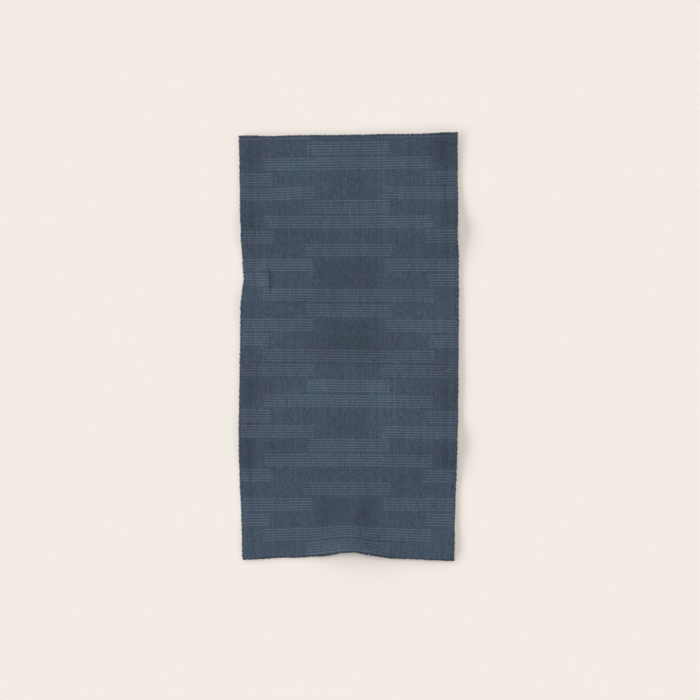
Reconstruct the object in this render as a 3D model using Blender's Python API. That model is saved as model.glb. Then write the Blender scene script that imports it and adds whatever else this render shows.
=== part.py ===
"""Bath towel lying flat on a surface: one length of woven cloth with a narrow rolled hem all round.

Metres, +Z up. X runs across the towel, +Y towards its head end, and the underside lies on z = 0.
"""
from collections import namedtuple
from math import cos, pi, radians, sin

import bmesh
import bpy

MM = 0.001

# The cloth as it was cut and hemmed
CUT_WIDTH = 712.0
CUT_LENGTH = 1400.0
CLOTH_THICKNESS = 3.0
HEM_THICKNESS = 4.0
HEM_CREST = 3.5
HEM_WIDTH = 8.0
HEM_OUTER_SHARE = 0.3
# The long sides lie a little slack, so the towel is shorter than its cut length
LAID_SHARE = 0.992

# How many strips the cloth is worked in from one place to the next, closer where it folds
Span = namedtuple("Span", "end strips")
ACROSS_START = -CUT_WIDTH / 2 + HEM_WIDTH
ACROSS_SPANS = (
    Span(end=-320.0, strips=1),
    Span(end=-230.0, strips=8),
    Span(end=-120.0, strips=5),
    Span(end=-10.0, strips=6),
    Span(end=100.0, strips=8),
    Span(end=220.0, strips=4),
    Span(end=CUT_WIDTH / 2 - HEM_WIDTH, strips=6),
)
ALONG_START = -CUT_LENGTH / 2 + HEM_WIDTH
ALONG_SPANS = (
    Span(end=-600.0, strips=6),
    Span(end=-420.0, strips=9),
    Span(end=-180.0, strips=8),
    Span(end=150.0, strips=8),
    Span(end=290.0, strips=9),
    Span(end=480.0, strips=7),
    Span(end=600.0, strips=4),
    Span(end=CUT_LENGTH / 2 - HEM_WIDTH, strips=4),
)

# Where the two long sides lie at each distance along the towel, and how far each is pushed up
Side = namedtuple("Side", "along left right left_up right_up")
SIDES = (
    Side(along=-700.0, left=-346.4, right=343.5, left_up=0.7, right_up=-3.5),
    Side(along=-560.0, left=-350.0, right=345.7, left_up=0.0, right_up=0.0),
    Side(along=-300.0, left=-359.0, right=354.4, left_up=2.0, right_up=-2.0),
    Side(along=-100.0, left=-355.5, right=357.5, left_up=2.4, right_up=-2.4),
    Side(along=100.0, left=-353.5, right=359.0, left_up=2.4, right_up=-2.4),
    Side(along=330.0, left=-353.5, right=358.0, left_up=0.0, right_up=0.0),
    Side(along=550.0, left=-355.0, right=356.0, left_up=-3.5, right_up=1.5),
    Side(along=700.0, left=-357.0, right=354.7, left_up=-7.0, right_up=3.5),
)

# Each fold or lifted edge: the place of its crest, how far it runs out each way, how high it
# stands, how far it draws the cloth sideways, and how much narrower it gets towards its far end
Fold = namedtuple("Fold", "x y turn ahead behind left right rise pull_x pull_y narrow")
FOLDS = {
    "foot arch": Fold(8.0, -700.0, -6.0, 230.0, 60.0, 150.0, 84.0, 18.0, 0.0, 8.0, 0.55),
    "foot lip": Fold(4.0, -700.0, 0.0, 80.0, 60.0, 105.0, 120.0, 18.0, 0.0, 8.0, 0.0),
    "foot draw": Fold(0.0, -700.0, 0.0, 250.0, 60.0, 380.0, 400.0, 1.5, 0.0, 12.5, 0.0),
    "foot left draw": Fold(-225.0, -700.0, 0.0, 120.0, 60.0, 115.0, 115.0, 1.5, 0.0, 4.5, 0.0),
    "foot right corner": Fold(346.0, -700.0, 0.0, 120.0, 60.0, 120.0, 60.0, 8.0, 0.0, 0.0, 0.0),
    "right lower wave": Fold(356.0, -300.0, 0.0, 85.0, 85.0, 105.0, 60.0, 20.0, -2.0, 0.0, 0.0),
    "right upper wave": Fold(356.0, 375.0, 0.0, 78.0, 80.0, 100.0, 60.0, 22.0, -5.0, 0.0, 0.0),
    "left lower wave": Fold(-356.0, 130.0, 0.0, 62.0, 70.0, 60.0, 80.0, 9.0, 0.0, 0.0, 0.0),
    "left upper wave": Fold(-356.0, 415.0, 0.0, 85.0, 80.0, 60.0, 85.0, 9.0, 0.0, 0.0, 0.0),
    "left pucker draw": Fold(-356.0, 217.0, 0.0, 190.0, 95.0, 60.0, 110.0, 0.0, 11.0, 0.0, 0.0),
    "left pucker ridge": Fold(-274.0, 226.0, 0.0, 48.0, 48.0, 46.0, 20.0, 9.0, 0.0, 5.0, 0.0),
    "head right corner": Fold(356.0, 700.0, 0.0, 60.0, 130.0, 140.0, 60.0, 11.0, 0.0, 0.0, 0.0),
    "head draw": Fold(10.0, 700.0, 0.0, 60.0, 250.0, 345.0, 345.0, 0.0, 0.0, -3.4, 0.0),
    "head wave": Fold(150.0, 700.0, 0.0, 60.0, 70.0, 190.0, 200.0, 3.0, 0.0, 0.0, 0.0),
    "head left crease": Fold(-165.0, 500.0, 20.0, 90.0, 70.0, 62.0, 48.0, 4.0, 0.0, 0.0, 0.0),
}

TOWEL_COLOUR = (0.064, 0.083, 0.115, 1.0)


def fabric_material(name, colour):
    """Plain woven cloth in one colour, dull and a little soft at its edges."""
    material = bpy.data.materials.new(name)
    material.use_nodes = True
    shader = material.node_tree.nodes["Principled BSDF"]
    shader.inputs["Base Color"].default_value = colour
    shader.inputs["Roughness"].default_value = 0.92
    shader.inputs["Metallic"].default_value = 0.0
    shader.inputs["Sheen Weight"].default_value = 0.2
    material.diffuse_color = colour
    return material


def stations(first, start, spans, last):
    """Places of the grid lines: the hem's edge and crest, the spans between, and the far hem."""
    places = [first, first + HEM_CREST, start]
    here = start
    for span in spans:
        step = (span.end - here) / span.strips
        places += [here + step * count for count in range(1, span.strips + 1)]
        here = span.end
    return places + [last - HEM_CREST, last]


def side_value(along, column):
    """A column of the side table at one distance along, on a smooth curve through its rows."""
    rows = SIDES
    upper = next((n for n, row in enumerate(rows) if row.along >= along), len(rows) - 1)
    upper = max(upper, 1)
    lower = upper - 1
    near, far = rows[lower], rows[upper]
    reach = far.along - near.along
    share = (along - near.along) / reach

    def slope(index):
        before = rows[max(index - 1, 0)]
        after = rows[min(index + 1, len(rows) - 1)]
        rise = getattr(after, column) - getattr(before, column)
        return rise / (after.along - before.along) * reach

    start, end = getattr(near, column), getattr(far, column)
    blend = share * share * (3.0 - 2.0 * share)
    ease_out = share * (1.0 - share) ** 2 * slope(lower)
    ease_in = share * share * (share - 1.0) * slope(upper)
    return start + (end - start) * blend + ease_out + ease_in


def swell(distance, before, behind):
    """One at the crest, falling in a smooth wave to nothing at each reach."""
    reach = before if distance >= 0.0 else behind
    if abs(distance) >= reach:
        return 0.0
    return 0.5 * (1.0 + cos(pi * distance / reach))


def fold_strength(fold, x, y):
    """How much of a fold is felt at a place on the laid cloth, from none to all."""
    turn = radians(fold.turn)
    out_x, out_y = x - fold.x, y - fold.y
    sideways = out_x * cos(turn) + out_y * sin(turn)
    onward = out_y * cos(turn) - out_x * sin(turn)
    reach = fold.ahead if onward >= 0.0 else fold.behind
    width = 1.0 - fold.narrow * min(abs(onward) / reach, 1.0)
    lengthwise = swell(onward, fold.ahead, fold.behind)
    return lengthwise * swell(sideways, fold.right * width, fold.left * width)


def laid_place(across, along):
    """Where a point of the cut cloth lies, in millimetres, with the surface at zero."""
    share = across / CUT_WIDTH + 0.5
    left, right = side_value(along, "left"), side_value(along, "right")
    left_up, right_up = side_value(along, "left_up"), side_value(along, "right_up")
    x = left + (right - left) * share
    y = along * LAID_SHARE + left_up + (right_up - left_up) * share
    rise = 0.0
    shift_x, shift_y = 0.0, 0.0
    for fold in FOLDS.values():
        strength = fold_strength(fold, across, along)
        rise += fold.rise * strength
        shift_x += fold.pull_x * strength
        shift_y += fold.pull_y * strength
    return x + shift_x, y + shift_y, rise


def hem_share(place, half):
    """How fully a grid line belongs to the hem, from its distance to the edge."""
    inward = half - abs(place)
    if inward < HEM_CREST * 0.5:
        return HEM_OUTER_SHARE
    return 1.0 if inward < (HEM_CREST + HEM_WIDTH) / 2 else 0.0


def build_sheet(name):
    """The laid underside as a grid, with a vertex group that marks the hem."""
    across_lines = stations(-CUT_WIDTH / 2, ACROSS_START, ACROSS_SPANS, CUT_WIDTH / 2)
    along_lines = stations(-CUT_LENGTH / 2, ALONG_START, ALONG_SPANS, CUT_LENGTH / 2)
    bm = bmesh.new()
    hem = bm.verts.layers.deform.new()
    rows = []
    for along in along_lines:
        row = []
        for across in across_lines:
            x, y, z = laid_place(across, along)
            vert = bm.verts.new((x * MM, y * MM, z * MM))
            at_side = hem_share(across, CUT_WIDTH / 2)
            at_end = hem_share(along, CUT_LENGTH / 2)
            corner = at_side * at_end if min(at_side, at_end) > 0.0 else max(at_side, at_end)
            vert[hem][0] = corner
            row.append(vert)
        rows.append(row)
    for lower, upper in zip(rows, rows[1:]):
        for left in range(len(lower) - 1):
            bm.faces.new((lower[left], lower[left + 1], upper[left + 1], upper[left]))
    mesh = bpy.data.meshes.new(name)
    bm.to_mesh(mesh)
    bm.free()
    sheet = bpy.data.objects.new(name, mesh)
    bpy.context.collection.objects.link(sheet)
    sheet.vertex_groups.new(name="hem")
    return sheet


def thicken(sheet):
    """Gives the sheet its thickness upwards, fuller at the hem, and keeps it as a plain mesh."""
    solid = sheet.modifiers.new("Thickness", 'SOLIDIFY')
    solid.thickness = HEM_THICKNESS * MM
    solid.offset = 1.0
    solid.use_even_offset = True
    solid.vertex_group = "hem"
    solid.thickness_vertex_group = CLOTH_THICKNESS / HEM_THICKNESS
    depsgraph = bpy.context.evaluated_depsgraph_get()
    thick = bpy.data.meshes.new_from_object(sheet.evaluated_get(depsgraph))
    sheet.modifiers.clear()
    sheet.data = thick


def settle(sheet):
    """Centres the towel over the middle of its outline, with its lowest face on the surface."""
    places = [vert.co for vert in sheet.data.vertices]
    middle_x = (min(p.x for p in places) + max(p.x for p in places)) / 2
    middle_y = (min(p.y for p in places) + max(p.y for p in places)) / 2
    lowest = min(p.z for p in places)
    for vert in sheet.data.vertices:
        vert.co.x -= middle_x
        vert.co.y -= middle_y
        vert.co.z -= lowest


def main():
    for old in list(bpy.data.objects):
        bpy.data.objects.remove(old, do_unlink=True)
    towel = build_sheet("towel_cloth")
    thicken(towel)
    settle(towel)
    towel.data.materials.clear()
    towel.data.materials.append(fabric_material("slate_navy_cotton", TOWEL_COLOUR))


main()
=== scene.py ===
"""A slate-navy bath towel laid out flat: woven cloth, rolled hem, sewing, pale floor and soft light."""
from collections import namedtuple
from math import cos, pi, radians, sin

import bmesh
import bpy
import numpy as np
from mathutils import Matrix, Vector


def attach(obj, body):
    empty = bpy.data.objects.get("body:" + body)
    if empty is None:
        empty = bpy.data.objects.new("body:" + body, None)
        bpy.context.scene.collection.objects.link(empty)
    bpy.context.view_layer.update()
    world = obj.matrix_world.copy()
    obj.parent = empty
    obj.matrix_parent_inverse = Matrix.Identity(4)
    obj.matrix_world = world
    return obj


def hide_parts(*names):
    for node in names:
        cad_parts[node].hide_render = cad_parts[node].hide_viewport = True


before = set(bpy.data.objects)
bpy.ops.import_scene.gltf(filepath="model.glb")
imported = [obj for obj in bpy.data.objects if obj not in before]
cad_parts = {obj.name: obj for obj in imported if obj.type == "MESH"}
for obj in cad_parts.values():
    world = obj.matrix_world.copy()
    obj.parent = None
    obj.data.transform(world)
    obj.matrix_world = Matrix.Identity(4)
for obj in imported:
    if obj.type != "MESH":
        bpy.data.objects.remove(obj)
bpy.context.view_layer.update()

MM = 0.001

# The cloth as it was cut and hemmed, in millimetres
CUT_WIDTH = 712.0
CUT_LENGTH = 1400.0
# Where the hems' outer edges lie on it: some are rolled a little tighter than others
LEFT_EDGE, RIGHT_EDGE, FOOT_EDGE, HEAD_EDGE = -355.8, 354.9, -698.7, 699.4
# The long sides lie a little slack, so the towel is shorter than its cut length
LAID_SHARE = 0.992

# The cloth between its hems: how far it runs into them, its two faces above the surface, how many rows
# it has, and how many columns lie left of each place across it, closer together at the pucker
PANEL_INSET = 5.2
PANEL_UNDER = 0.4
PANEL_TOP = 3.1
PANEL_ROWS = 288
PANEL_COLUMNS = ((-356.0, 0), (-294.0, 16), (-274.0, 24), (-254.0, 44), (-240.0, 49), (356.0, 158))
# How far its face and its back are moved aside in the bake map, so that they lie next to each other
FACE_SHIFT, BACK_SHIFT = -0.245, 0.255
# How far the cloth's own unevenness lifts its face, on average
MEAN_UNEVEN = 0.45

# The hem's roll: its outline from the outer edge inwards, as distance and height
HEM_SECTION = (
    (0.0, 2.1), (0.3, 3.15), (1.1, 3.75), (2.5, 3.95), (4.2, 3.95), (5.8, 3.8), (7.1, 3.55), (8.0, 3.1),
    (8.0, 1.0), (7.1, 0.35), (5.8, 0.1), (4.2, 0.0), (2.5, 0.0), (1.1, 0.3), (0.3, 1.0),
)
# The height about which it gets thinner
HEM_MIDDLE = 2.05
# How close to a hem's end it starts to narrow, how thick it is there, and how much it gains from there on
HEM_TAPER = 2.5
HEM_END_SHARE = 0.55
HEM_END_GROWTH = 0.45
# The edge sewing pinches the roll at this pitch: how deep on average, how deep at most, how far in from
# the outer edge it is felt, and how much thinner the roll gets
PINCH_PITCH = 8.7
PINCH_DEPTH = 4.6
PINCH_LIMIT = 4.9
PINCH_REACH = 6.0
PINCH_THINNING = 0.16
# How round the lobes between are, how many steps each is made in, and how far in the whole edge lies
LOBE_ROUNDNESS = 0.97
PINCH_STEPS = 8
EDGE_CLEARANCE = 0.4
# The middle of the thread loops, in from the hem's outer edge, and how far they stray with it
LOOP_INSET = 5.5
LOOP_STRAY = 0.6
# The running stitches: how far in from the edge they lie, how close their line follows the cloth, and how
# high they lie on the hem's face and on its back
STITCH_INSET = 6.1
STITCH_LINE_STEP = 4.0
FACE_STITCH_HEIGHT = 3.78
BACK_STITCH_HEIGHT = 0.12
# Where a thread loop starts and how far round it goes, in degrees
LOOP_START, LOOP_SWEEP = 62.0, 236.0

# Where the two long sides lie at each distance along the towel, and how far each is pushed up
Side = namedtuple("Side", "along left right left_up right_up")
SIDES = tuple(Side(*row) for row in (
    (-700, -348.4, 342.8, 2.2, -1),
    (-560, -351.6, 345, 0, 0),
    (-430, -357.6, 349.4, 2.2, -0.7),
    (-300, -360, 354.2, 4.5, -1.4),
    (-100, -357.4, 356, 4.8, -3.2),
    (100, -354.8, 357.4, 4, -2.4),
    (330, -354.4, 356.9, 0.5, 2.4),
    (550, -357, 354.2, -4.8, 3.1),
    (700, -359.4, 353.6, -6.2, 4.4),
))

# How high each edge stands off the surface at each place along it
Lift = namedtuple("Lift", "at rise")
LEFT_LIFTS = tuple(Lift(*row) for row in (
    (-700, 3), (-650, 8.5), (-570, 3), (-470, 2.8), (-390, 3.5), (-300, 13), (-155, 6), (-110, 8),
    (-40, 8.5), (60, 7.5), (150, 22), (195, 9), (225, 3), (270, 4), (300, 5), (350, 13), (405, 21),
    (480, 10.5), (610, 7), (700, 4),
))
RIGHT_LIFTS = tuple(Lift(*row) for row in (
    (-700, 6), (-645, 11.5), (-570, 7), (-505, 6.5), (-470, 5.5), (-375, 14.5), (-318, 22.5), (-262, 13),
    (-225, 8.5), (-180, 8.5), (-110, 10.5), (-10, 8.5), (120, 8), (270, 8), (315, 14), (375, 27.5),
    (432, 15.5), (515, 7), (610, 8), (700, 12),
))
FOOT_LIFTS = tuple(Lift(*row) for row in (
    (-356, 0.8), (-310, 4.4), (-200, 2.2), (-120, 5.5), (0, 7), (90, 11.5), (150, 12.5), (220, 12.5),
    (290, 8), (356, 1.5),
))
HEAD_LIFTS = tuple(Lift(*row) for row in (
    (-356, 4), (-300, 12), (-160, 11), (5, 11.5), (165, 14.5), (265, 20), (330, 13), (356, 7),
))
# The first millimetres of a long side's lift are a curl close to its edge, and the rest is a long slope.
# How far in from the edges each is felt.
SIDE_CURL = 2.4
SIDE_CURL_REACH = 60.0
SIDE_LIFT_REACH = 330.0
END_LIFT_REACH = 110.0

# Each fold: the place of its crest, its turn in degrees, how far it runs out each way, how high it stands,
# how far it draws the cloth, and how much narrower it gets towards its far end
Fold = namedtuple("Fold", "x y turn ahead behind left right rise pull_x pull_y narrow", defaults=(0, 0, 0, 0))
FOLDS = {
    "foot arch": Fold(16, -700, 10, 190, 60, 200, 165, rise=15, narrow=0.6),
    "foot lip": Fold(20, -700, 0, 46, 60, 135, 165, rise=17.5, pull_y=3.2),
    "foot lip droop": Fold(14, -700, 0, 22, 60, 125, 115, rise=-4),
    "foot arch draw": Fold(14, -700, 14, 200, 60, 222, 114, pull_y=13.4, narrow=0.82),
    "foot lip right draw": Fold(92, -700, 0, 40, 60, 45, 55, pull_y=4.4),
    "foot lip left draw": Fold(-72, -700, 0, 24, 60, 60, 60, pull_y=-4),
    "foot upper draw": Fold(0, -430, 0, 110, 130, 300, 340, pull_y=1.5),
    "foot draw": Fold(-10, -700, 0, 250, 60, 380, 400, pull_y=11.3),
    "foot left draw": Fold(-225, -700, 0, 120, 60, 115, 115, pull_y=4.5),
    "foot left corner nip": Fold(-356, -700, 0, 18, 60, 40, 40, pull_x=2.8),
    "foot edge left ease": Fold(-200, -700, 0, 14, 60, 120, 75, pull_y=-2.3),
    "foot edge middle draw": Fold(28, -700, 0, 14, 60, 45, 30, pull_y=1.6),
    "foot edge right draw": Fold(228, -700, 0, 14, 60, 50, 50, pull_y=1.9),
    "foot upper crease": Fold(43, -536, 8, 66, 68, 60, 17, rise=5),
    "right lower draw": Fold(356, -315, 0, 85, 85, 105, 60, pull_x=-2),
    "right upper draw": Fold(356, 375, 0, 78, 80, 100, 60, pull_x=-4),
    "left pucker draw": Fold(-356, 217, 0, 190, 112, 60, 110, pull_x=8.3),
    "left pucker nip": Fold(-356, 224, 0, 22, 20, 40, 40, pull_x=1.8),
    "left pucker ease": Fold(-356, 190, 0, 20, 24, 40, 40, pull_x=-1.4),
    "left upper draw": Fold(-262, 372, 0, 60, 70, 90, 60, pull_x=6),
    "left pucker ridge": Fold(-263.6, 220, 3.5, 54, 68, 48, 3.6, rise=6.5),
    "left pucker upper bulge": Fold(-290, 246, 0, 26, 24, 28, 24, rise=3, pull_y=4.5),
    "left pucker lower bulge": Fold(-290, 204, 0, 22, 26, 28, 24, pull_y=-3),
    "left upper nip": Fold(-356, 388, 0, 34, 34, 40, 40, pull_x=2.2),
    "head draw": Fold(10, 700, 0, 60, 18, 345, 345, pull_y=-2.9),
    "head left draw": Fold(-250, 700, 0, 60, 18, 95, 100, pull_y=-2.8),
    "head right draw": Fold(225, 700, 0, 60, 18, 110, 115, pull_y=-3),
    "head slack": Fold(-3, 500, 0, 44, 40, 300, 300, rise=2.5, pull_y=9),
    "head left crease": Fold(-165, 500, 20, 90, 70, 62, 48, rise=4),
}

# The stripe repeat, going down from the head: where each bar's middle lies, and how far from the
# towel's middle line it starts and stops. A bar is five fine lines.
Bar = namedtuple("Bar", "down start stop")
TO_EDGE = 400.0
BARS = tuple(Bar(*row) for row in (
    (0, 0, 133), (50.1, 0, 273.6), (100.6, 249.3, TO_EDGE), (150.7, 109.5, TO_EDGE),
    (193.9, 0, 133), (243.7, 0, 273.6), (293.2, 249.3, TO_EDGE), (336.2, 0, 140.4),
    (385.4, 118, TO_EDGE), (433.8, 258.7, TO_EDGE), (483.5, 0, 279), (533, 0, 140.4),
    (582, 118, TO_EDGE), (631, 258.7, TO_EDGE), (682, 0, 279), (730.4, 109.5, TO_EDGE),
))
BAR_REPEAT = 780.4
# What lies above the first bar and below the last one, where the repeat is cut
REPEAT_LEAD = (BAR_REPEAT - BARS[-1].down) / 2
FIRST_BAR_ALONG = 653.0
LINE_PITCH = 8.65
LINES_IN_BAR = 5
# Half a line's width at its narrowest, how much wider it gets, and how soft its two sides are
LINE_HALF_WIDTH = 1.15
LINE_UNEVEN = 1.1
LINE_SOFT_OUT = 0.45
LINE_SOFT_IN = 0.55
# How ragged and how soft a bar's ends are
BAR_END_RAGGED = 4.0
BAR_END_SOFT = 0.8
PATTERN_MIDDLE = -1.8
LAST_LINE_ALONG = 690.0
# Towards the foot the weave is a little longer, from this place on by this share
STRETCH_FROM = -440.0
STRETCH_SHARE = 0.036

# Each broad soft patch of the repeat's ground: where it lies, how far it reaches, how much darker it is,
# and how far its dye leans to teal and to green. Below nothing it is paler, greyer or nearer violet.
Shade = namedtuple("Shade", "across half_width down half_height depth lean green", defaults=(0, 0, 0))
SHADES = tuple(Shade(*row) for row in (
    (338, 62, 25, 62, 0.115, -0.2, 1.4),
    (346, 58, 219, 62, 0.11, 0.5, -0.6),
    (335, 70, 118, 40, 0.05, 0, -1.1),
    (350, 50, 266, 34, 0.07, 0.8),
    (315, 11, 390, 900, 0.055),
    (345, 105, 525, 90, -0.05, 0.8),
    (350, 60, 415, 34, -0.05),
    (350, 80, 732, 30, 0.12, -0.8),
    (0, 75, 126, 48, 0.06),
    (155, 130, 60, 120, -0.045, 0.3),
    (0, 300, 88, 130, 0, 0.8),
    (0, 130, 410, 56, 0.14, -0.4),
    (0, 150, 492, 58, 0.08, -0.2, -0.4),
    (0, 112, 608, 56, 0.15, -0.2),
    (0, 180, 316, 62, 0.05, -0.2, -0.6),
    (260, 95, 214, 40, 0.045, 0, -1.1),
    (255, 80, 118, 36, 0.03, 0, -0.5),
    (262, 80, 14, 46, 0.05, -0.6, -1.4),
    (356, 30, 630, 66, -0.05),
    (0, 95, 648, 40, 0.045, 0.1, 1.4),
    (0, 160, 680, 40, 0.1, -0.2),
    (0, 420, 680, 44, 0.03, -0.4),
    (245, 105, 590, 90, -0.06, 0.6, 0.1),
    (0, 300, 18, 48, -0.045),
    (210, 110, 325, 85, 0, 0.1, -1.2),
    (330, 80, 398, 40, 0, 0.9),
    (210, 85, 490, 75, 0, 0.6, 0.1),
    (140, 60, 622, 34, 0.05, -0.2, -1.3),
    (150, 85, 695, 36, 0, 0.8, -1.6),
    (250, 65, 728, 38, 0.04, 0, -1.2),
    (88, 62, 203, 44, 0, 0.9, 0.2),
    (0, 160, 742, 28, 0, 1.1, 0.2),
))
LEAN_TO_TEAL = (-0.034, 0.014, 0.004)
LEAN_TO_GREEN = (-0.075, 0.075, -0.075)
# How much of the green lean one unit of a patch gives
PATCH_GREEN = 0.16
# Where a patch starts to fade, as a share of its reach
PATCH_SOFT_FROM = 0.55
# Painted light: how much paler the cloth is painted a metre further left, the side the window light comes
# from
LEFTWARD_PAINTED_LIGHT = 0.13


# Shape of the laid cloth

def smooth_through(rows, column, at):
    """A smooth curve through a table's column, read at many places. Each row starts with its own place."""
    places = np.array([row[0] for row in rows])
    values = np.array([getattr(row, column) for row in rows])
    upper = np.clip(np.searchsorted(places, at), 1, len(places) - 1)
    lower = upper - 1
    reach = places[upper] - places[lower]
    share = np.clip((at - places[lower]) / reach, 0.0, 1.0)
    before = np.maximum(np.arange(len(places)) - 1, 0)
    after = np.minimum(np.arange(len(places)) + 1, len(places) - 1)
    slopes = (values[after] - values[before]) / (places[after] - places[before])
    blend = share * share * (3.0 - 2.0 * share)
    ease_out = share * (1.0 - share) ** 2 * slopes[lower] * reach
    ease_in = share * share * (share - 1.0) * slopes[upper] * reach
    return values[lower] + (values[upper] - values[lower]) * blend + ease_out + ease_in


def swell(distance, before, behind):
    """One at the crest, falling in a smooth wave to nothing at each reach."""
    reach = np.where(distance >= 0.0, before, behind)
    near = np.clip(np.abs(distance) / reach, 0.0, 1.0)
    return 0.5 * (1.0 + np.cos(pi * near))


def fold_strength(fold, across, along):
    """How much of a fold is felt at each place of the cut cloth, from none to all."""
    turn = radians(fold.turn)
    out_x, out_y = across - fold.x, along - fold.y
    sideways = out_x * np.cos(turn) + out_y * np.sin(turn)
    onward = out_y * np.cos(turn) - out_x * np.sin(turn)
    reach = np.where(onward >= 0.0, fold.ahead, fold.behind)
    width = np.maximum(1.0 - fold.narrow * np.minimum(np.abs(onward) / reach, 1.0), 0.15)
    return swell(onward, fold.ahead, fold.behind) * swell(sideways, fold.right * width, fold.left * width)


def side_lift(lifts, along, inwards):
    """How far a long side's lift raises the cloth, at each distance in from its edge."""
    rise = smooth_through(lifts, "rise", along)
    curl = np.minimum(rise, SIDE_CURL)
    near = swell(inwards, SIDE_CURL_REACH, SIDE_CURL_REACH)
    return curl * near + (rise - curl) * swell(inwards, SIDE_LIFT_REACH, SIDE_LIFT_REACH)


def edge_lift(across, along):
    """How far the cloth stands off the surface because its four edges are lifted."""
    left = side_lift(LEFT_LIFTS, along, across + CUT_WIDTH / 2)
    right = side_lift(RIGHT_LIFTS, along, across - CUT_WIDTH / 2)
    foot, head = (
        smooth_through(lifts, "rise", across) * swell(along - edge, END_LIFT_REACH, END_LIFT_REACH)
        for lifts, edge in ((FOOT_LIFTS, -CUT_LENGTH / 2), (HEAD_LIFTS, CUT_LENGTH / 2)))
    return np.hypot(left + right, foot + head)


def slackness(across, along):
    """The cloth's own slight unevenness, in crossing waves of a few tenths of a millimetre."""
    wide = np.sin(across * 0.021 + 1.3 * np.sin(along * 0.0093)) * np.sin(along * 0.0172 + 0.7)
    narrow = np.sin(across * 0.063 + along * 0.027 + 2.0) * np.sin(along * 0.051 - across * 0.013)
    return MEAN_UNEVEN + 0.28 * wide + 0.17 * narrow


def underside(across, along):
    """Where points of the cut cloth's underside lie, in millimetres, with the surface at zero."""
    share = across / CUT_WIDTH + 0.5
    left, right, left_up, right_up = (
        smooth_through(SIDES, column, along) for column in ("left", "right", "left_up", "right_up"))
    x = left + (right - left) * share
    y = along * LAID_SHARE + left_up + (right_up - left_up) * share
    z = edge_lift(across, along)
    for fold in FOLDS.values():
        strength = fold_strength(fold, across, along)
        x = x + fold.pull_x * strength
        y = y + fold.pull_y * strength
        z = z + fold.rise * strength
    return np.stack([x, y, z], axis=-1)


def lay(across, along, height):
    """Places in metres for points of the cut cloth at a height above its underside."""
    step = 1.0
    base = underside(across, along)
    rightward = underside(across + step, along) - underside(across - step, along)
    onward = underside(across, along + step) - underside(across, along - step)
    up = np.cross(rightward, onward)
    up /= np.linalg.norm(up, axis=-1, keepdims=True)
    return (base + up * np.asarray(height)[..., None] - LAID_MIDDLE) * MM, up


def outline_middle():
    """The middle of the laid outline, which is put on the frame's origin."""
    run = np.linspace(-1.0, 1.0, 401)
    sides = [underside(np.full_like(run, edge * CUT_WIDTH / 2), run * CUT_LENGTH / 2) for edge in (-1, 1)]
    ends = [underside(run * CUT_WIDTH / 2, np.full_like(run, edge * CUT_LENGTH / 2)) for edge in (-1, 1)]
    rim = np.concatenate(sides + ends)
    middle = (rim.min(axis=0) + rim.max(axis=0)) / 2
    middle[2] = 0.0
    return middle


LAID_MIDDLE = outline_middle()


# Meshes

def put_in_scene(name, data):
    """An object of its own in the scene."""
    made = bpy.data.objects.new(name, data)
    bpy.context.scene.collection.objects.link(made)
    return made


def clear_of_border(share):
    """Places in a flat map, from nothing to one, kept a little clear of its border."""
    return share * 0.98 + 0.01


def new_piece(name, points, quads, materials, plan, bake, slots=None):
    """An object from points and four-cornered faces, with its two flat maps."""
    mesh = bpy.data.meshes.new(name)
    mesh.from_pydata([tuple(p) for p in points], [], [tuple(int(n) for n in q) for q in quads])
    for material in materials:
        mesh.materials.append(material)
    if slots is not None:
        mesh.polygons.foreach_set("material_index", slots)
    mesh.polygons.foreach_set("use_smooth", [True] * len(mesh.polygons))
    corners = np.empty(len(mesh.loops), dtype=np.int32)
    mesh.loops.foreach_get("vertex_index", corners)
    for map_name, values in (("OFBake", bake), ("cut_plan", plan)):
        layer = mesh.uv_layers.new(name=map_name)
        layer.data.foreach_set("uv", np.asarray(values[corners], dtype=np.float32).ravel())
    mesh.update()
    return put_in_scene(name, mesh)


def grid_quads(rows, columns, start=0, flip=False):
    """Faces of a grid of points stored row by row."""
    row, column = np.meshgrid(np.arange(rows - 1), np.arange(columns - 1), indexing="ij")
    corner = start + (row * columns + column).ravel()
    quads = np.stack([corner, corner + 1, corner + columns + 1, corner + columns], axis=1)
    return quads[:, ::-1] if flip else quads


def rim_loop(rows, columns):
    """The border of a grid of points, once round, anticlockwise from its first corner."""
    foot = np.arange(columns - 1)
    right = columns - 1 + np.arange(rows - 1) * columns
    head = rows * columns - 1 - np.arange(columns - 1)
    left = (rows - 1 - np.arange(rows - 1)) * columns
    return np.concatenate([foot, right, head, left])


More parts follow.
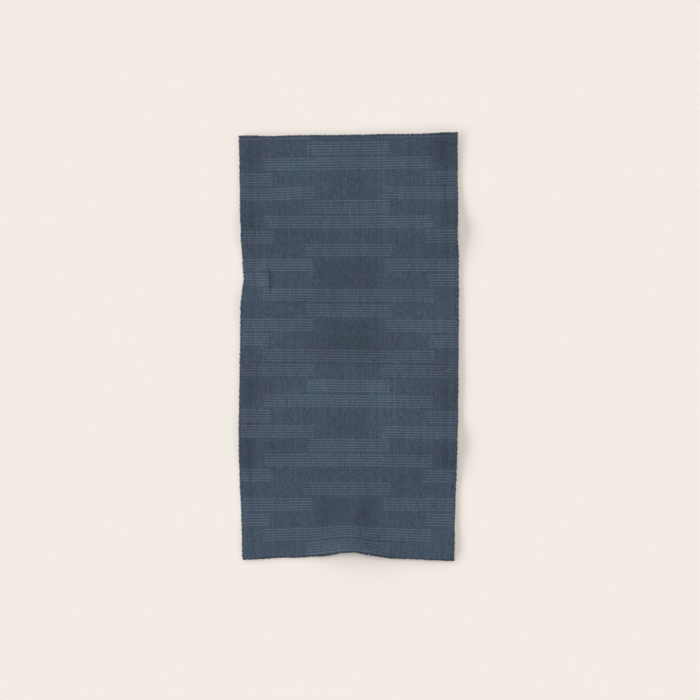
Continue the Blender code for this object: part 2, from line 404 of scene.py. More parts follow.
def cloth_panel(face, back):
    """The woven cloth between the hems: a face and a back joined at the rim, inside the hem."""
    places, counts = zip(*PANEL_COLUMNS)
    columns, rows = counts[-1] + 1, PANEL_ROWS + 1
    across = np.interp(np.arange(columns), counts, places)
    across = np.interp(across, (places[0], places[-1]), (LEFT_EDGE + PANEL_INSET, RIGHT_EDGE - PANEL_INSET))
    along = np.linspace(FOOT_EDGE + PANEL_INSET, HEAD_EDGE - PANEL_INSET, rows)
    along, across = np.meshgrid(along, across, indexing="ij")
    along, across = along.ravel(), across.ravel()
    uneven = slackness(across, along)
    top, _ = lay(across, along, PANEL_TOP - MEAN_UNEVEN + uneven)
    under, _ = lay(across, along, np.full_like(across, PANEL_UNDER))
    count = rows * columns
    rim = rim_loop(rows, columns)
    after = np.roll(rim, -1)
    walls = np.stack([rim + count, after + count, after, rim], axis=1)
    quads = np.concatenate([grid_quads(rows, columns), grid_quads(rows, columns, count, flip=True), walls])
    faces = (rows - 1) * (columns - 1)
    slots = [0] * faces + [1] * faces + [1] * len(walls)
    plan = np.stack([across, along], axis=1) * MM
    share = clear_of_border(np.stack([across / CUT_LENGTH + 0.5, along / CUT_LENGTH + 0.5], axis=1))
    bake = np.concatenate([share + (FACE_SHIFT, 0.0), share + (BACK_SHIFT, 0.0)])
    return new_piece(
        "woven_cloth", np.concatenate([top, under]), quads, [face, back],
        plan=np.concatenate([plan, plan]), bake=bake, slots=slots)


# The four hems: the ends of each on the cut cloth, the way inwards from it, how much higher it is made
# to clear the next one, and how much its edge strays. The side hems end just inside the other two.
Hem = namedtuple("Hem", "start end inward extra stray")
SIDE_FOOT, SIDE_HEAD = FOOT_EDGE + 0.8, HEAD_EDGE - 0.8
HEMS = tuple(Hem(*row) for row in (
    ((LEFT_EDGE, FOOT_EDGE), (RIGHT_EDGE, FOOT_EDGE), (0, 1), 0.35, 1),
    ((RIGHT_EDGE, SIDE_FOOT), (RIGHT_EDGE, SIDE_HEAD), (-1, 0), 0, 1.1),
    ((RIGHT_EDGE, HEAD_EDGE), (LEFT_EDGE, HEAD_EDGE), (0, -1), 0.35, 0.95),
    ((LEFT_EDGE, SIDE_HEAD), (LEFT_EDGE, SIDE_FOOT), (1, 0), 0, 0.95),
))


def hem_line(hem, spacing):
    """Evenly spaced places along a hem's outer edge, and its length."""
    start, end = np.array(hem.start), np.array(hem.end)
    length = np.linalg.norm(end - start)
    steps = max(int(round(length / spacing)), 1)
    run = np.linspace(0.0, length, steps + 1)
    return run, start + (end - start) * (run / length)[:, None], length


def pinch(run, length):
    """How far the hem's roll is drawn in by its sewing: most at each loop, with a round lobe between."""
    count = round(length / PINCH_PITCH)
    from_lobe = 2.0 * np.abs((run * count / length) % 1.0 - 0.5)
    return 1.0 - np.sqrt(1.0 - LOBE_ROUNDNESS * from_lobe ** 2)


def edge_wander(run, number):
    """How far the hem's outer edge strays inwards along it, in millimetres, and how deep its pinches go."""
    slow = 0.35 * np.sin(run * 0.061 + number) + 0.15 * np.sin(run * 0.173 + 2.0 * number)
    quick = np.sin(run * 0.41 + 2.3 * np.sin(run * 0.037) + number) * np.sin(run * 0.083 + 1.0)
    short = np.sin(run * 0.35 + 2.9 * np.sin(run * 0.023 + 2.0) + 3.0 * number)
    deep = PINCH_DEPTH * (0.85 + 0.25 * np.sin(run * 0.137 + 5.0 * number))
    return (slow + 0.8 * quick + 0.7 * short) * HEMS[number].stray, deep


def hem_rolls(face):
    """The narrow rolled hem on all four edges, drawn in where the edge sewing goes over it."""
    points, quads, plans, bakes = [], [], [], []
    section = np.array(HEM_SECTION)
    ring = len(section)
    for number, hem in enumerate(HEMS):
        run, line, length = hem_line(hem, PINCH_PITCH / PINCH_STEPS)
        drawn = pinch(run, length)
        wander, deep = edge_wander(run, number)
        ends = np.clip(np.minimum(run, length - run) / HEM_TAPER, 0.0, 1.0)
        ends = HEM_END_SHARE + HEM_END_GROWTH * np.sin(ends * pi / 2)
        inward = np.array(hem.inward)
        outer = np.clip(1.0 - section[:, 0] / PINCH_REACH, 0.0, 1.0)
        drawn_in = np.minimum(drawn * deep + wander + EDGE_CLEARANCE, PINCH_LIMIT)
        distance = section[:, 0][None, :] + drawn_in[:, None] * outer
        squeeze = (1.0 - PINCH_THINNING * drawn[:, None] * outer) * ends[:, None]
        height = HEM_MIDDLE + (section[:, 1] - HEM_MIDDLE) * squeeze
        height = height + hem.extra * (section[:, 1] > HEM_MIDDLE)
        across = line[:, 0][:, None] + inward[0] * distance
        along = line[:, 1][:, None] + inward[1] * distance
        laid, _ = lay(across.ravel(), along.ravel(), height.ravel())
        start = sum(len(p) for p in points)
        stations = len(run)
        index = start + np.arange(stations * ring).reshape(stations, ring)
        ahead = np.roll(index, -1, axis=1)
        quads.append(np.stack([index[:-1], ahead[:-1], ahead[1:], index[1:]], axis=-1).reshape(-1, 4))
        points.append(laid)
        plans.append(np.stack([across.ravel(), along.ravel()], axis=1) * MM)
        girth = np.linspace(0.0, 1.0, ring) * 0.22 + 0.25 * number + 0.015
        strip = np.meshgrid(clear_of_border(run / length), girth, indexing="ij")
        bakes.append(np.stack(strip, axis=-1).reshape(-1, 2))
    piece = new_piece(
        "hem_roll", np.concatenate(points), np.concatenate(quads), [face],
        plan=np.concatenate(plans), bake=np.concatenate(bakes))
    bm = bmesh.new()
    bm.from_mesh(piece.data)
    bmesh.ops.holes_fill(bm, edges=[edge for edge in bm.edges if edge.is_boundary], sides=0)
    bmesh.ops.triangulate(bm, faces=[f for f in bm.faces if len(f.verts) > 4])
    bmesh.ops.recalc_face_normals(bm, faces=bm.faces)
    bm.to_mesh(piece.data)
    bm.free()
    return piece


# Node trees

def feed(tree, socket, value):
    """Gives a socket a value, or joins it to another node's output."""
    if isinstance(value, bpy.types.NodeSocket):
        tree.links.new(value, socket)
    else:
        socket.default_value = value


def node(tree, kind, inputs=(), **settings):
    """Adds a node with its settings, and feeds its inputs by name or by number."""
    made = tree.nodes.new(kind)
    for label, value in settings.items():
        setattr(made, label, value)
    for label, value in dict(inputs).items():
        feed(tree, made.inputs[label], value)
    return made


def from_node(tree, kind, output, inputs=(), **settings):
    """Adds a node and hands on one of its outputs."""
    return node(tree, kind, inputs, **settings).outputs[output]


def reckon(tree, operation, *terms):
    """A sum of up to three numbers or outputs of other nodes."""
    return from_node(tree, 'ShaderNodeMath', "Value", enumerate(terms), operation=operation)


def times(tree, first, second):
    """One number times another."""
    return reckon(tree, 'MULTIPLY', first, second)


def minus(tree, first, second):
    """One number less another."""
    return reckon(tree, 'SUBTRACT', first, second)


def times_plus(tree, first, second, third):
    """One number times another, and a third one added."""
    return reckon(tree, 'MULTIPLY_ADD', first, second, third)


def vector_from(tree, **parts):
    """A vector from its x, y and z, where given."""
    inputs = {label.upper(): value for label, value in parts.items()}
    return from_node(tree, 'ShaderNodeCombineXYZ', "Vector", inputs)


def new_group(kind, name, given, made):
    """A node group with named inputs and outputs, each with the kind of its socket or with its own number."""
    tree = bpy.data.node_groups.new(name, kind)
    for way, sockets in (('INPUT', given), ('OUTPUT', made)):
        for label, value in sockets.items():
            number = isinstance(value, float)
            socket_type = 'NodeSocket' + ('Float' if number else value)
            socket = tree.interface.new_socket(label, in_out=way, socket_type=socket_type)
            if number:
                socket.default_value = value
    return tree, tree.nodes.new('NodeGroupInput').outputs, tree.nodes.new('NodeGroupOutput').inputs


# Sewing, made by Geometry Nodes along lines on the hem

def sewing_line(name, rows):
    """A helper object with points on the cloth, and the way on and the way up at each."""
    points, edges, onward, upward = [], [], [], []
    for places, ups in rows:
        start = len(points)
        ahead = np.gradient(places, axis=0)
        ahead /= np.linalg.norm(ahead, axis=1, keepdims=True)
        points += [tuple(p) for p in places]
        edges += [(start + n, start + n + 1) for n in range(len(places) - 1)]
        onward.append(ahead)
        upward.append(ups)
    mesh = bpy.data.meshes.new(name)
    mesh.from_pydata(points, edges, [])
    for label, values in (("onward", onward), ("upward", upward)):
        attribute = mesh.attributes.new(label, 'FLOAT_VECTOR', 'POINT')
        attribute.data.foreach_set("vector", np.concatenate(values).astype(np.float32).ravel())
    return put_in_scene(name, mesh)


def new_sewing_tree(name, sizes):
    """An empty Geometry Nodes tree with a line going in, sewing coming out, and named sizes."""
    given = {"Line": 'Geometry', **sizes, "Seed": 'Int', "Thread": 'Material'}
    return new_group('GeometryNodeTree', name, given, {"Sewing": 'Geometry'})


def thread_on_points(tree, given, stitch, points):
    """Sets a stitch on every point, turned to the line, a little different from the next one."""
    onward, upward = (
        from_node(
            tree, 'GeometryNodeInputNamedAttribute', "Attribute", {"Name": label}, data_type='FLOAT_VECTOR')
        for label in ("onward", "upward"))
    turn = from_node(
        tree, 'FunctionNodeAxesToRotation', "Rotation", {"Primary Axis": onward, "Secondary Axis": upward},
        primary_axis='X', secondary_axis='Z')
    vary = from_node(
        tree, 'FunctionNodeRandomValue', "Value",
        {"Min": (-0.06, -0.10, -0.10), "Max": (0.06, 0.10, 0.10), "Seed": given["Seed"]},
        data_type='FLOAT_VECTOR')
    lean = from_node(
        tree, 'FunctionNodeRotateRotation', "Rotation", {"Rotation": turn, "Rotate By": vary},
        rotation_space='LOCAL')
    placed = from_node(
        tree, 'GeometryNodeInstanceOnPoints', "Instances",
        {"Points": points, "Instance": stitch, "Rotation": lean})
    real = from_node(tree, 'GeometryNodeRealizeInstances', "Geometry", {"Geometry": placed})
    smooth = from_node(tree, 'GeometryNodeSetShadeSmooth', "Geometry", {"Geometry": real})
    return from_node(
        tree, 'GeometryNodeSetMaterial', "Geometry", {"Geometry": smooth, "Material": given["Thread"]})


def round_thread(tree, given, path, sides):
    """Gives a stitch's path the thickness of the thread, with closed ends."""
    ring = from_node(
        tree, 'GeometryNodeCurvePrimitiveCircle', "Curve",
        {"Resolution": sides, "Radius": given["Thread radius"]})
    return from_node(
        tree, 'GeometryNodeCurveToMesh', "Mesh", {"Fill Caps": True, "Curve": path, "Profile Curve": ring})


def running_stitch_tree():
    """Short arched stitches set along a line at an even pitch."""
    tree, given, made = new_sewing_tree("running_stitches", {
        "Pitch": 3.6 * MM, "Stitch length": 2.9 * MM, "Stitch rise": 0.45 * MM, "Thread radius": 0.32 * MM})
    curve = from_node(tree, 'GeometryNodeMeshToCurve', "Curve", {"Mesh": given["Line"]})
    spread = from_node(
        tree, 'GeometryNodeResampleCurve', "Curve", {"Curve": curve, "Length": given["Pitch"]}, mode='LENGTH')
    up = given["Stitch rise"]
    down = times(tree, up, -1.2)
    half, near = (times(tree, given["Stitch length"], share) for share in (0.5, 0.3))
    back_half, back_near = (times(tree, reach, -1.0) for reach in (half, near))
    arch = from_node(tree, 'GeometryNodeCurvePrimitiveBezierSegment', "Curve", {
        "Resolution": 6,
        "Start": vector_from(tree, x=back_half, z=down), "Start Handle": vector_from(tree, x=back_near, z=up),
        "End Handle": vector_from(tree, x=near, z=up), "End": vector_from(tree, x=half, z=down)},
        mode='POSITION')
    stitch = round_thread(tree, given, arch, 5)
    feed(tree, made["Sewing"], thread_on_points(tree, given, stitch, spread))
    return tree


def edge_loop_tree():
    """Loops of thread that go over the hem's outer edge, one at each point of the line."""
    tree, given, made = new_sewing_tree("edge_loops", {
        "Loop width": 2.1 * MM, "Loop height": 2.0 * MM, "Slant": 0.35, "Thread radius": 0.38 * MM})
    loop = from_node(tree, 'GeometryNodeCurveArc', "Curve", {
        "Resolution": 11, "Radius": 1.0,
        "Start Angle": radians(LOOP_START), "Sweep Angle": radians(LOOP_SWEEP)})
    upright = (radians(90.0), 0.0, radians(90.0))
    size = vector_from(tree, x=given["Loop width"], y=given["Loop width"], z=given["Loop height"])
    slant = vector_from(tree, y=given["Slant"])
    for label, value in (("Rotation", upright), ("Scale", size), ("Rotation", slant)):
        loop = from_node(tree, 'GeometryNodeTransform', "Geometry", {"Geometry": loop, label: value})
    stitch = round_thread(tree, given, loop, 6)
    feed(tree, made["Sewing"], thread_on_points(tree, given, stitch, given["Line"]))
    return tree


def sew(name, line, tree, thread, seed):
    """Runs a sewing tree on a line and keeps what it makes as a plain mesh."""
    sewing = line.modifiers.new(name, 'NODES')
    sewing.node_group = tree
    chosen = {"Seed": seed, "Thread": thread}
    for item in tree.interface.items_tree:
        if item.item_type == 'SOCKET' and item.in_out == 'INPUT' and item.name in chosen:
            sewing[item.identifier] = chosen[item.name]
    depsgraph = bpy.context.evaluated_depsgraph_get()
    mesh = bpy.data.meshes.new_from_object(line.evaluated_get(depsgraph))
    mesh.name = name
    bpy.data.objects.remove(line, do_unlink=True)
    return put_in_scene(name, mesh)


def hem_sewing(thread):
    """The line of stitches along the hem's inner side, on the face and on the back."""
    tree = running_stitch_tree()
    pieces = []
    for name, height, way in (
            ("face_stitches", FACE_STITCH_HEIGHT, 1.0), ("back_stitches", BACK_STITCH_HEIGHT, -1.0)):
        rows = []
        for hem in HEMS:
            _, line, _ = hem_line(hem, STITCH_LINE_STEP)
            inner = line[1:-1] + np.array(hem.inward) * STITCH_INSET
            rows.append(lay(inner[:, 0], inner[:, 1], np.full(len(inner), height + hem.extra * (way > 0))))
        rows = [(places, ups * way) for places, ups in rows]
        pieces.append(sew(name, sewing_line(name + "_line", rows), tree, thread, seed=5))
    return pieces


def edge_sewing(thread):
    """The thread that goes over the hem's outer edge and draws it in at an even pitch."""
    rows = []
    for number, hem in enumerate(HEMS):
        start, end = np.array(hem.start), np.array(hem.end)
        length = np.linalg.norm(end - start)
        count = round(length / PINCH_PITCH)
        share = np.arange(1, count) / count
        wander, _ = edge_wander(share * length, number)
        inset = LOOP_INSET + LOOP_STRAY * wander
        places = start + (end - start) * share[:, None] + np.array(hem.inward) * inset[:, None]
        rows.append(lay(places[:, 0], places[:, 1], np.full(len(places), HEM_MIDDLE)))
    return sew("edge_loops", sewing_line("edge_line", rows), edge_loop_tree(), thread, seed=9)


# Materials

def ramp_between(tree, value, low, high):
    """Nothing at low, one at high, and smooth in between."""
    inputs = {"Value": value, "From Min": low, "From Max": high}
    return from_node(tree, 'ShaderNodeMapRange', "Result", inputs, interpolation_type='SMOOTHSTEP')


def reckon_colour(tree, operation, *terms):
    """A sum of up to three colours or outputs of other nodes."""
    return from_node(tree, 'ShaderNodeVectorMath', "Vector", enumerate(terms), operation=operation)


def toned(tree, colour, tone):
    """A colour made lighter or darker by a number."""
    return from_node(
        tree, 'ShaderNodeVectorMath', "Vector", {0: colour, "Scale": tone}, operation='SCALE')


def new_material(name, looks):
    """A material, its node tree and its shader's inputs, with the looks that are the same all over."""
    material = bpy.data.materials.new(name)
    material.use_nodes = True
    shader = material.node_tree.nodes["Principled BSDF"].inputs
    for label, value in looks.items():
        shader[label].default_value = value
    return material, material.node_tree, shader


def new_effect(name, given, made):
    """A shader node group with named numbers going in and coming out."""
    return new_group('ShaderNodeTree', name, given, dict.fromkeys(made, 'Float'))


def use_effect(tree, effect, **values):
    """Places a shader node group and sets its inputs, from numbers or from other nodes."""
    inputs = {label.replace("_", " ").capitalize(): value for label, value in values.items()}
    return node(tree, 'ShaderNodeGroup', inputs, node_tree=effect).outputs


def stretched_noise(tree, given, across_size, along_size, detail, shift=0.0):
    """Noise in the cloth's own plane, longer one way than the other."""
    x = reckon(tree, 'DIVIDE', given["Across"], across_size)
    y = reckon(tree, 'DIVIDE', given["Along"], along_size)
    place = vector_from(tree, x=x, y=y, z=shift)
    inputs = {"Vector": place, "Scale": 1.0, "Detail": detail, "Roughness": 0.55}
    return from_node(tree, 'ShaderNodeTexNoise', "Fac", inputs, noise_dimensions='3D')


# Where a point lies on the cut cloth, in metres: the inputs that most effects start with
ON_CLOTH = {"Across": 0.0, "Along": 0.0}


# The weave's relief: its level, what its ribs and its crossings add, and how wide the gaps between ribs are
WEAVE_LEVEL, RIB_RELIEF, CROSSING_RELIEF = 0.28, 0.45, 0.32
# The gaps also set where the cotton's colour gets painted shade between the ribs
RIB_GAP = 0.55
WEAVE_HEIGHT = 0.35 * MM
# How far the upright yarns wander, in metres
YARN_WANDER = 0.0016


def yarn_wave(tree, place, pitch):
    """A wave that rises for one yarn and falls for the next."""
    return reckon(tree, 'SINE', times(tree, reckon(tree, 'DIVIDE', place, pitch), pi))


def weave_effect():
    """The weave: yarns over and under each other, a little uneven, and where its gaps lie for painted shade.
    """
    tree, given, made = new_effect(
        "weave", {**ON_CLOTH, "Warp pitch": 1.5 * MM, "Weft pitch": 1.9 * MM}, ("Relief", "Unshaded ribs"))
    wobble = stretched_noise(tree, given, 0.011, 0.026, 2.0, 3.1)
    drift = times_plus(tree, wobble, YARN_WANDER, given["Across"])
    warp = yarn_wave(tree, drift, given["Warp pitch"])
    weft = yarn_wave(tree, given["Along"], given["Weft pitch"])
    crossing = times(tree, warp, weft)
    ribs = reckon(tree, 'ABSOLUTE', warp)
    relief = times_plus(tree, ribs, RIB_RELIEF, WEAVE_LEVEL)
    relief = times_plus(tree, crossing, CROSSING_RELIEF, relief)
    feed(tree, made["Relief"], relief)
    feed(tree, made["Unshaded ribs"], ramp_between(tree, ribs, 0.0, RIB_GAP))
    return tree


# The noises in the yarn's dye: the size of their patches across and along in metres, their detail, and
# a shift that keeps them from falling together
Noise = namedtuple("Noise", "across_size along_size detail shift")
DYE_NOISES = {
    "Streaks": Noise(0.005, 0.028, 2, 0),
    "Flecks": Noise(0.0053, 0.0052, 1.5, 7.3),
    "Threads": Noise(0.0056, 0.8, 1, 21.3),
    "Drift": Noise(0.085, 0.14, 2, 11.9),
    "Hue": Noise(0.032, 0.045, 1, 16.4),
    "Thin yarns": Noise(0.004, 0.04, 1, 4.7),
    "Thick yarns": Noise(0.03, 0.0036, 1, 9.1),
}
# Where a thin or thick yarn starts to show in its noise, and where it shows fully
SLUB_FROM, SLUB_FULL = 0.54, 0.72


def heather_effect():
    """The yarn's uneven dye: upright streaks, flecks, long threads, slow drifts, thick and thin yarns."""
    tree, given, made = new_effect(
        "heather",
        {**ON_CLOTH, "Streaks": 0.62, "Flecks": 0.94, "Threads": 0.34, "Drift": 0.10, "Slubs": 0.17},
        ("Tone", "Hue"))
    noises = {label: stretched_noise(tree, given, *row) for label, row in DYE_NOISES.items()}
    uneven = {label: minus(tree, noise, 0.5) for label, noise in noises.items()}
    tone = 1.0
    for label in ("Streaks", "Flecks", "Threads", "Drift"):
        tone = times_plus(tree, uneven[label], given[label], tone)
    dark, pale = (
        ramp_between(tree, noises[label], SLUB_FROM, SLUB_FULL) for label in ("Thin yarns", "Thick yarns"))
    tone = times_plus(tree, minus(tree, pale, dark), given["Slubs"], tone)
    feed(tree, made["Tone"], tone)
    feed(tree, made["Hue"], uneven["Hue"])
    return tree


def soft_shade_effect():
    """A soft-edged patch, one in its middle and nothing outside."""
    tree, given, made = new_effect(
        "soft_shade",
        {"Out": 0.0, "Down": 0.0, "Across": 0.0, "Half width": 50.0, "Middle": 0.0, "Half height": 50.0},
        ("Patch",))
    patch = 1.0
    for place, middle, half in (("Out", "Across", "Half width"), ("Down", "Middle", "Half height")):
        off = reckon(tree, 'DIVIDE', minus(tree, given[place], given[middle]), given[half])
        here = ramp_between(tree, reckon(tree, 'ABSOLUTE', off), 1.0, PATCH_SOFT_FROM)
        patch = times(tree, here, patch)
    feed(tree, made["Patch"], patch)
    return tree


def stripe_effect(soft_shade):
    """The stripe repeat: five-line bars stepped out from the middle, and the broad soft shading."""
    tree, given, made = new_effect("stripe_repeat", ON_CLOTH, ("Bars", "Shading", "Lean", "Green"))
    out = reckon(tree, 'ABSOLUTE', times_plus(tree, given["Across"], 1 / MM, -PATTERN_MIDDLE))
    toward_foot = times(tree, given["Along"], -1 / MM)
    stretch = reckon(tree, 'MAXIMUM', reckon(tree, 'ADD', toward_foot, STRETCH_FROM), 0.0)
    down = times_plus(tree, stretch, -STRETCH_SHARE, toward_foot)
    down = reckon(tree, 'ADD', down, FIRST_BAR_ALONG + REPEAT_LEAD)
    share = reckon(tree, 'FRACT', reckon(tree, 'DIVIDE', reckon(tree, 'ADD', down, BAR_REPEAT), BAR_REPEAT))
    chart = node(tree, 'ShaderNodeValToRGB', {"Fac": share})
    chart.color_ramp.interpolation = 'CONSTANT'
    stops = chart.color_ramp.elements
    stops.remove(stops[1])
    for number, bar in enumerate(BARS):
        begin = 0.0 if number == 0 else ((bar.down + BARS[number - 1].down) / 2 + REPEAT_LEAD) / BAR_REPEAT
        stop = stops[0] if number == 0 else stops.new(begin)
        stop.position = begin
        stop.color = (bar.start / TO_EDGE, bar.stop / TO_EDGE, (bar.down + REPEAT_LEAD) / BAR_REPEAT, 1.0)
    row = node(tree, 'ShaderNodeSeparateColor', {"Color": chart.outputs["Color"]}).outputs
    start, stop = (times(tree, row[label], TO_EDGE) for label in ("Red", "Green"))
    from_middle = times(tree, minus(tree, share, row["Blue"]), BAR_REPEAT)
    line = reckon(tree, 'ROUND', reckon(tree, 'DIVIDE', from_middle, LINE_PITCH))
    off_line = minus(tree, from_middle, times(tree, line, LINE_PITCH))
    wander = stretched_noise(tree, given, 0.018, 0.004, 1.0, 5.0)
    breadth = times_plus(tree, wander, LINE_UNEVEN, LINE_HALF_WIDTH)
    thread = ramp_between(
        tree, reckon(tree, 'ABSOLUTE', off_line), reckon(tree, 'ADD', breadth, LINE_SOFT_OUT),
        minus(tree, breadth, LINE_SOFT_IN))
    last = LINES_IN_BAR // 2
    in_bar = ramp_between(tree, reckon(tree, 'ABSOLUTE', line), last + 0.6, last + 0.4)
    ragged = times_plus(tree, minus(tree, wander, 0.5), BAR_END_RAGGED, out)
    after_start, before_stop = (
        ramp_between(tree, minus(tree, *ends), -BAR_END_SOFT, BAR_END_SOFT)
        for ends in ((ragged, start), (stop, ragged)))
    after_start = reckon(tree, 'MAXIMUM', after_start, reckon(tree, 'LESS_THAN', start, 0.5))
    from_cross = reckon(tree, 'ABSOLUTE', times(tree, given["Along"], 1 / MM))
    before_hem = ramp_between(tree, from_cross, LAST_LINE_ALONG + 1.0, LAST_LINE_ALONG - 1.0)
    whole = times(tree, times(tree, after_start, before_stop), before_hem)
    feed(tree, made["Bars"], times(tree, times(tree, thread, in_bar), whole))
    totals = {"Shading": 0.0, "Lean": 0.0, "Green": 0.0}
    middle = times(tree, share, BAR_REPEAT)
    for shade in SHADES:
        patch = use_effect(
            tree, soft_shade, out=out, down=middle, across=shade.across, half_width=shade.half_width,
            middle=shade.down + REPEAT_LEAD, half_height=shade.half_height)["Patch"]
        for label, amount in zip(totals, (shade.depth, shade.lean, shade.green * PATCH_GREEN)):
            totals[label] = times_plus(tree, patch, amount, totals[label])
    for label, total in totals.items():
        feed(tree, made[label], total)
    return tree


# Each edge in hem order: how deep the painted shade on its outer side is, and how pale the band inside it is
EdgeLook = namedtuple("EdgeLook", "name dark rub")
EDGE_LOOKS = tuple(EdgeLook(*row) for row in (
    ("Foot", 0.68, 0.6), ("Right", 0.28, 0.45), ("Head", 0.14, 1.15), ("Left", 0.04, 0.85),
))
# How much of that painted shade the rim shows, how much its notches deepen and lighten it, and where it
# fades out and where the paler band fades in and out, in millimetres in from the edge
RIM_PAINTED_SHADE = 0.76
NOTCH_PAINTED_SHADE = 0.2
RIM_FADE = (7.2, 3.6)
PALE_BAND_START = (15.0, 11.0)
PALE_BAND_STOP = (5.5, 8.0)
# How much paler the band in from the edge is at its strongest
PALE_BAND_STRENGTH = 0.10
# The rim's uneven dye: how strong it is, its level, and its darkest
RIM_UNEVEN, RIM_LEVEL, RIM_DARKEST = 2.6, -0.30, 0.35


def edge_effect():
    """Painted shade on the rolled edge's outer side and notches, its uneven dye, and a paler band inside."""
    tree, given, made = new_effect(
        "rolled_edge_shade", {**ON_CLOTH, **{look.name: look.dark for look in EDGE_LOOKS}}, ("Tone", "Pale band"))
    tone, pale_mask = 1.0, 0.0
    for hem, look in zip(HEMS, EDGE_LOOKS):
        place, other, axis = ("Across", "Along", 0) if hem.inward[0] else ("Along", "Across", 1)
        half, start, end = abs(hem.start[axis]), hem.start[1 - axis], hem.end[1 - axis]
        from_middle = times(tree, given[place], -hem.inward[axis] / MM)
        near, inner, outer = (
            ramp_between(tree, from_middle, half - none, half - full)
            for none, full in (RIM_FADE, PALE_BAND_START, PALE_BAND_STOP))
        turns = round(abs(end - start) / PINCH_PITCH) * 2 * pi / (end - start)
        notch = times_plus(tree, given[other], turns / MM, -turns * start)
        # Painted shade on the edge's outer side, deeper at the loops and lighter between them
        depth = times(tree, given[look.name], RIM_PAINTED_SHADE)
        depth = times_plus(tree, reckon(tree, 'COSINE', notch), NOTCH_PAINTED_SHADE, depth)
        tone = minus(tree, tone, times(tree, depth, near))
        # A paler band a little way in from the edge
        here = times(tree, times(tree, inner, outer), look.rub)
        pale_mask = reckon(tree, 'MAXIMUM', pale_mask, here)
    uneven = stretched_noise(tree, given, 0.0052, 0.0052, 1.5, 2.2)
    patchy = times_plus(tree, uneven, RIM_UNEVEN, RIM_LEVEL)
    patchy = reckon(tree, 'MAXIMUM', patchy, RIM_DARKEST)
    feed(tree, made["Tone"], times(tree, tone, patchy))
    feed(tree, made["Pale band"], pale_mask)
    return tree


COTTON_LOOKS = {
    "Metallic": 0.0, "Specular IOR Level": 0.18,
    "Sheen Weight": 0.12, "Sheen Roughness": 0.5, "Sheen Tint": (0.62, 0.72, 0.85, 1.0),
}
COTTON_ROUGHNESS = 0.94
RIB_SMOOTHING = 0.08
# Painted shade in the weave: the tone in the gaps between ribs, and how much paler the ribs are painted
GAP_PAINTED_SHADE, RIB_PAINTED_LIGHT = 0.80, 0.22
# How much of the dye's unevenness the pale lines lose
LINE_EVENNESS = 0.4


def cotton(name, effects, ground, line, tone=1.0, relief=0.35, edge=False):
    """Woven cotton: dye, bars, weave relief, painted shade and light, and a soft nap."""
    material, tree, shader = new_material(name, COTTON_LOOKS)
    plan = from_node(tree, 'ShaderNodeUVMap', "UV", uv_map="cut_plan")
    place = node(tree, 'ShaderNodeSeparateXYZ', {"Vector": plan}).outputs
    weave, heather, stripes, rim = (
        use_effect(tree, effects[label], across=place["X"], along=place["Y"])
        for label in ("weave", "heather", "stripes", "edge"))
    striped = from_node(
        tree, 'ShaderNodeMix', "Result", {"Factor": stripes["Bars"], "A": (*ground, 1.0), "B": (*line, 1.0)},
        data_type='RGBA')
    hue = reckon(tree, 'ADD', heather["Hue"], stripes["Green"])
    hue = reckon_colour(tree, 'MULTIPLY_ADD', hue, LEAN_TO_GREEN, (1.0, 1.0, 1.0))
    hue = reckon_colour(tree, 'MULTIPLY_ADD', stripes["Lean"], LEAN_TO_TEAL, hue)
    colour = reckon_colour(tree, 'MULTIPLY', striped, hue)
    uneven = minus(tree, heather["Tone"], 1.0)
    evened = times_plus(tree, stripes["Bars"], -LINE_EVENNESS, 1.0)
    shade = reckon(tree, 'ADD', times(tree, uneven, evened), 1.0)
    factors = [
        # Painted shade in the gaps between the weave's ribs
        times_plus(tree, weave["Unshaded ribs"], RIB_PAINTED_LIGHT, GAP_PAINTED_SHADE * tone),
        minus(tree, 1.0, stripes["Shading"]),
        # Painted light, paler towards the left
        times_plus(tree, place["X"], -LEFTWARD_PAINTED_LIGHT, 1.0),
        # A paler band just inside the hem
        times_plus(tree, rim["Pale band"], PALE_BAND_STRENGTH, 1.0),
    ]
    # On the hem, the rolled edge's painted shade and uneven dye as well
    for factor in factors + [rim["Tone"]] * edge:
        shade = times(tree, shade, factor)
    feed(tree, shader["Base Color"], toned(tree, colour, shade))
    rough = times_plus(tree, weave["Relief"], -RIB_SMOOTHING, COTTON_ROUGHNESS)
    feed(tree, shader["Roughness"], rough)
    bump = {"Distance": WEAVE_HEIGHT, "Strength": relief, "Height": weave["Relief"]}
    feed(tree, shader["Normal"], from_node(tree, 'ShaderNodeBump', "Normal", bump))
    return material


TWIST_PITCH = 0.55 * MM


def sewing_thread(name, colour):
    """Twisted polyester thread, a little smoother and paler than the cloth, with painted shade in its twist.
    """
    material, tree, shader = new_material(name, {"Metallic": 0.0, "Sheen Weight": 0.1})
    where = from_node(tree, 'ShaderNodeTexCoord', "Object")
    place = node(tree, 'ShaderNodeSeparateXYZ', {"Vector": where}).outputs
    diagonal = reckon(tree, 'ADD', place["X"], place["Y"])
    # Painted shade along the grooves of the twist
    twist_shade = reckon(tree, 'SINE', times(tree, diagonal, 2 * pi / TWIST_PITCH))
    worn = from_node(tree, 'ShaderNodeTexNoise', "Fac", {"Scale": 160.0, "Vector": where})
    tone = times_plus(tree, twist_shade, 0.10, times_plus(tree, worn, 0.35, 0.82))
    feed(tree, shader["Base Color"], toned(tree, colour, tone))
    feed(tree, shader["Roughness"], times_plus(tree, worn, 0.2, 0.6))
    return material


# Floor, light and camera

FLOOR_REACH = 9.0
FLOOR_DROP = 0.0002
FLOOR_COLOUR = (0.896, 0.838, 0.775, 1.0)


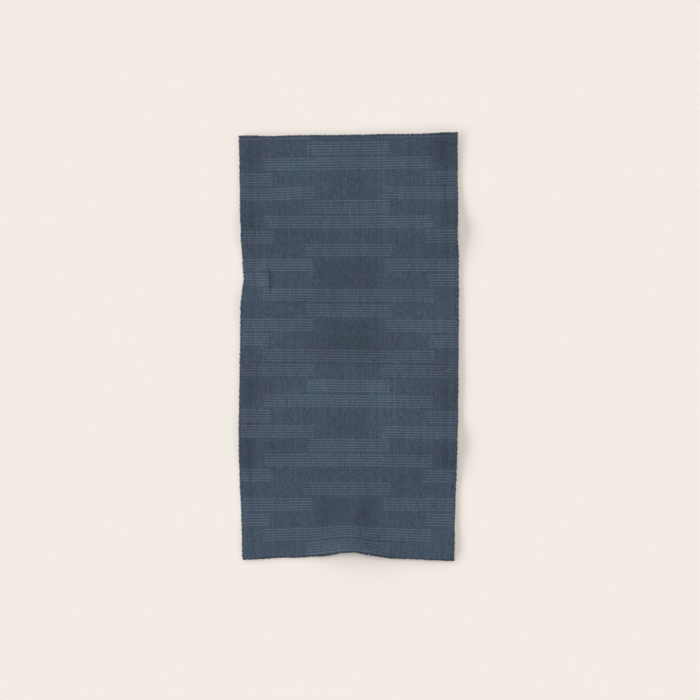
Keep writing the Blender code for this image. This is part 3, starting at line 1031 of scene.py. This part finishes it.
def pale_floor():
    """A wide plain floor in warm off-white, just under the cloth's own surface."""
    mesh = bpy.data.meshes.new("floor")
    corners = ((-1, -1), (1, -1), (1, 1), (-1, 1))
    mesh.from_pydata([(x * FLOOR_REACH, y * FLOOR_REACH, 0.0) for x, y in corners], [], [(0, 1, 2, 3)])
    material, _, _ = new_material(
        "pale_floor", {"Base Color": FLOOR_COLOUR, "Roughness": 1.0, "Specular IOR Level": 0.0})
    mesh.materials.append(material)
    floor = put_in_scene("floor", mesh)
    floor.location.z = -FLOOR_DROP


# The window's light is a little cooler than the room's, and the two together are neutral
WINDOW_TINT = (1.0, 1.03, 1.05)
ROOM_TINT = (1.0, 0.9825, 0.971)

# Each light: the side that it comes from in degrees round from the right, its height in degrees, how
# broad it is, its share of the light that falls on the floor, and its colour
Lamp = namedtuple("Lamp", "side height breadth share tint")
LAMPS = {
    "head_side": Lamp(98, 21, 28, 0.045, WINDOW_TINT),
    "window_head": Lamp(147, 21, 26, 0.105, WINDOW_TINT),
    "window_middle": Lamp(182, 27, 30, 0.105, WINDOW_TINT),
    "window_foot": Lamp(211, 24, 28, 0.10, WINDOW_TINT),
    "fill_head": Lamp(42, 30, 34, 0.06, ROOM_TINT),
    "fill_foot": Lamp(325, 32, 34, 0.055, ROOM_TINT),
    "overhead": Lamp(90, 76, 40, 0.495, ROOM_TINT),
}
ROOM_SHARE = 0.038


def soft_light():
    """A broad low window light from the left, a weak fill from the right, and a soft box overhead."""
    world = bpy.data.worlds.new("soft_room")
    world.use_nodes = True
    back = world.node_tree.nodes["Background"]
    back.inputs["Color"].default_value = (1.0, 1.0, 1.0, 1.0)
    back.inputs["Strength"].default_value = ROOM_SHARE
    bpy.context.scene.world = world
    for name, lamp in LAMPS.items():
        side, height = radians(lamp.side), radians(lamp.height)
        light = bpy.data.lights.new(name, 'SUN')
        light.energy = lamp.share * pi / sin(height)
        light.color = lamp.tint
        light.angle = radians(lamp.breadth)
        holder = put_in_scene(name, light)
        coming_from = Vector((cos(height) * cos(side), cos(height) * sin(side), sin(height)))
        holder.rotation_mode = 'QUATERNION'
        holder.rotation_quaternion = coming_from.to_track_quat('Z', 'Y')


# A little off the towel's middle, as the photograph is
CAMERA_PLACE = (0.0037, -0.0106, 5.37)


def overhead_camera():
    """Looks straight down, as the photograph does."""
    camera = bpy.data.cameras.new("overhead")
    camera.lens = 85.0
    camera.sensor_width = 36.0
    camera.clip_start, camera.clip_end = 0.05, 50.0
    holder = put_in_scene("overhead", camera)
    holder.location = CAMERA_PLACE
    bpy.context.scene.camera = holder
    bpy.context.scene.view_settings.view_transform = 'Standard'


GROUND = (0.0540, 0.0735, 0.1062)
LINE = (0.0850, 0.1100, 0.1505)
BACK_LINE = (0.0690, 0.0905, 0.1270)
HEM_GROUND = (0.0560, 0.0740, 0.1035)
THREAD = (0.062, 0.083, 0.118)

effects = {"weave": weave_effect(), "heather": heather_effect(), "edge": edge_effect()}
effects["stripes"] = stripe_effect(soft_shade_effect())
face = cotton("towel_face", effects, GROUND, line=LINE)
back = cotton("towel_back", effects, GROUND, line=BACK_LINE, tone=0.99)
hem_cloth = cotton("towel_hem", effects, HEM_GROUND, line=LINE, relief=0.3, edge=True)
thread = sewing_thread("hem_thread", THREAD)

cloth = cloth_panel(face, back)
hem = hem_rolls(hem_cloth)
sewing = hem_sewing(thread) + [edge_sewing(thread)]

for piece in [cloth, hem] + sewing:
    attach(piece, "root")
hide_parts("towel_cloth")

pale_floor()
soft_light()
overhead_camera()

bpy.context.view_layer.update()
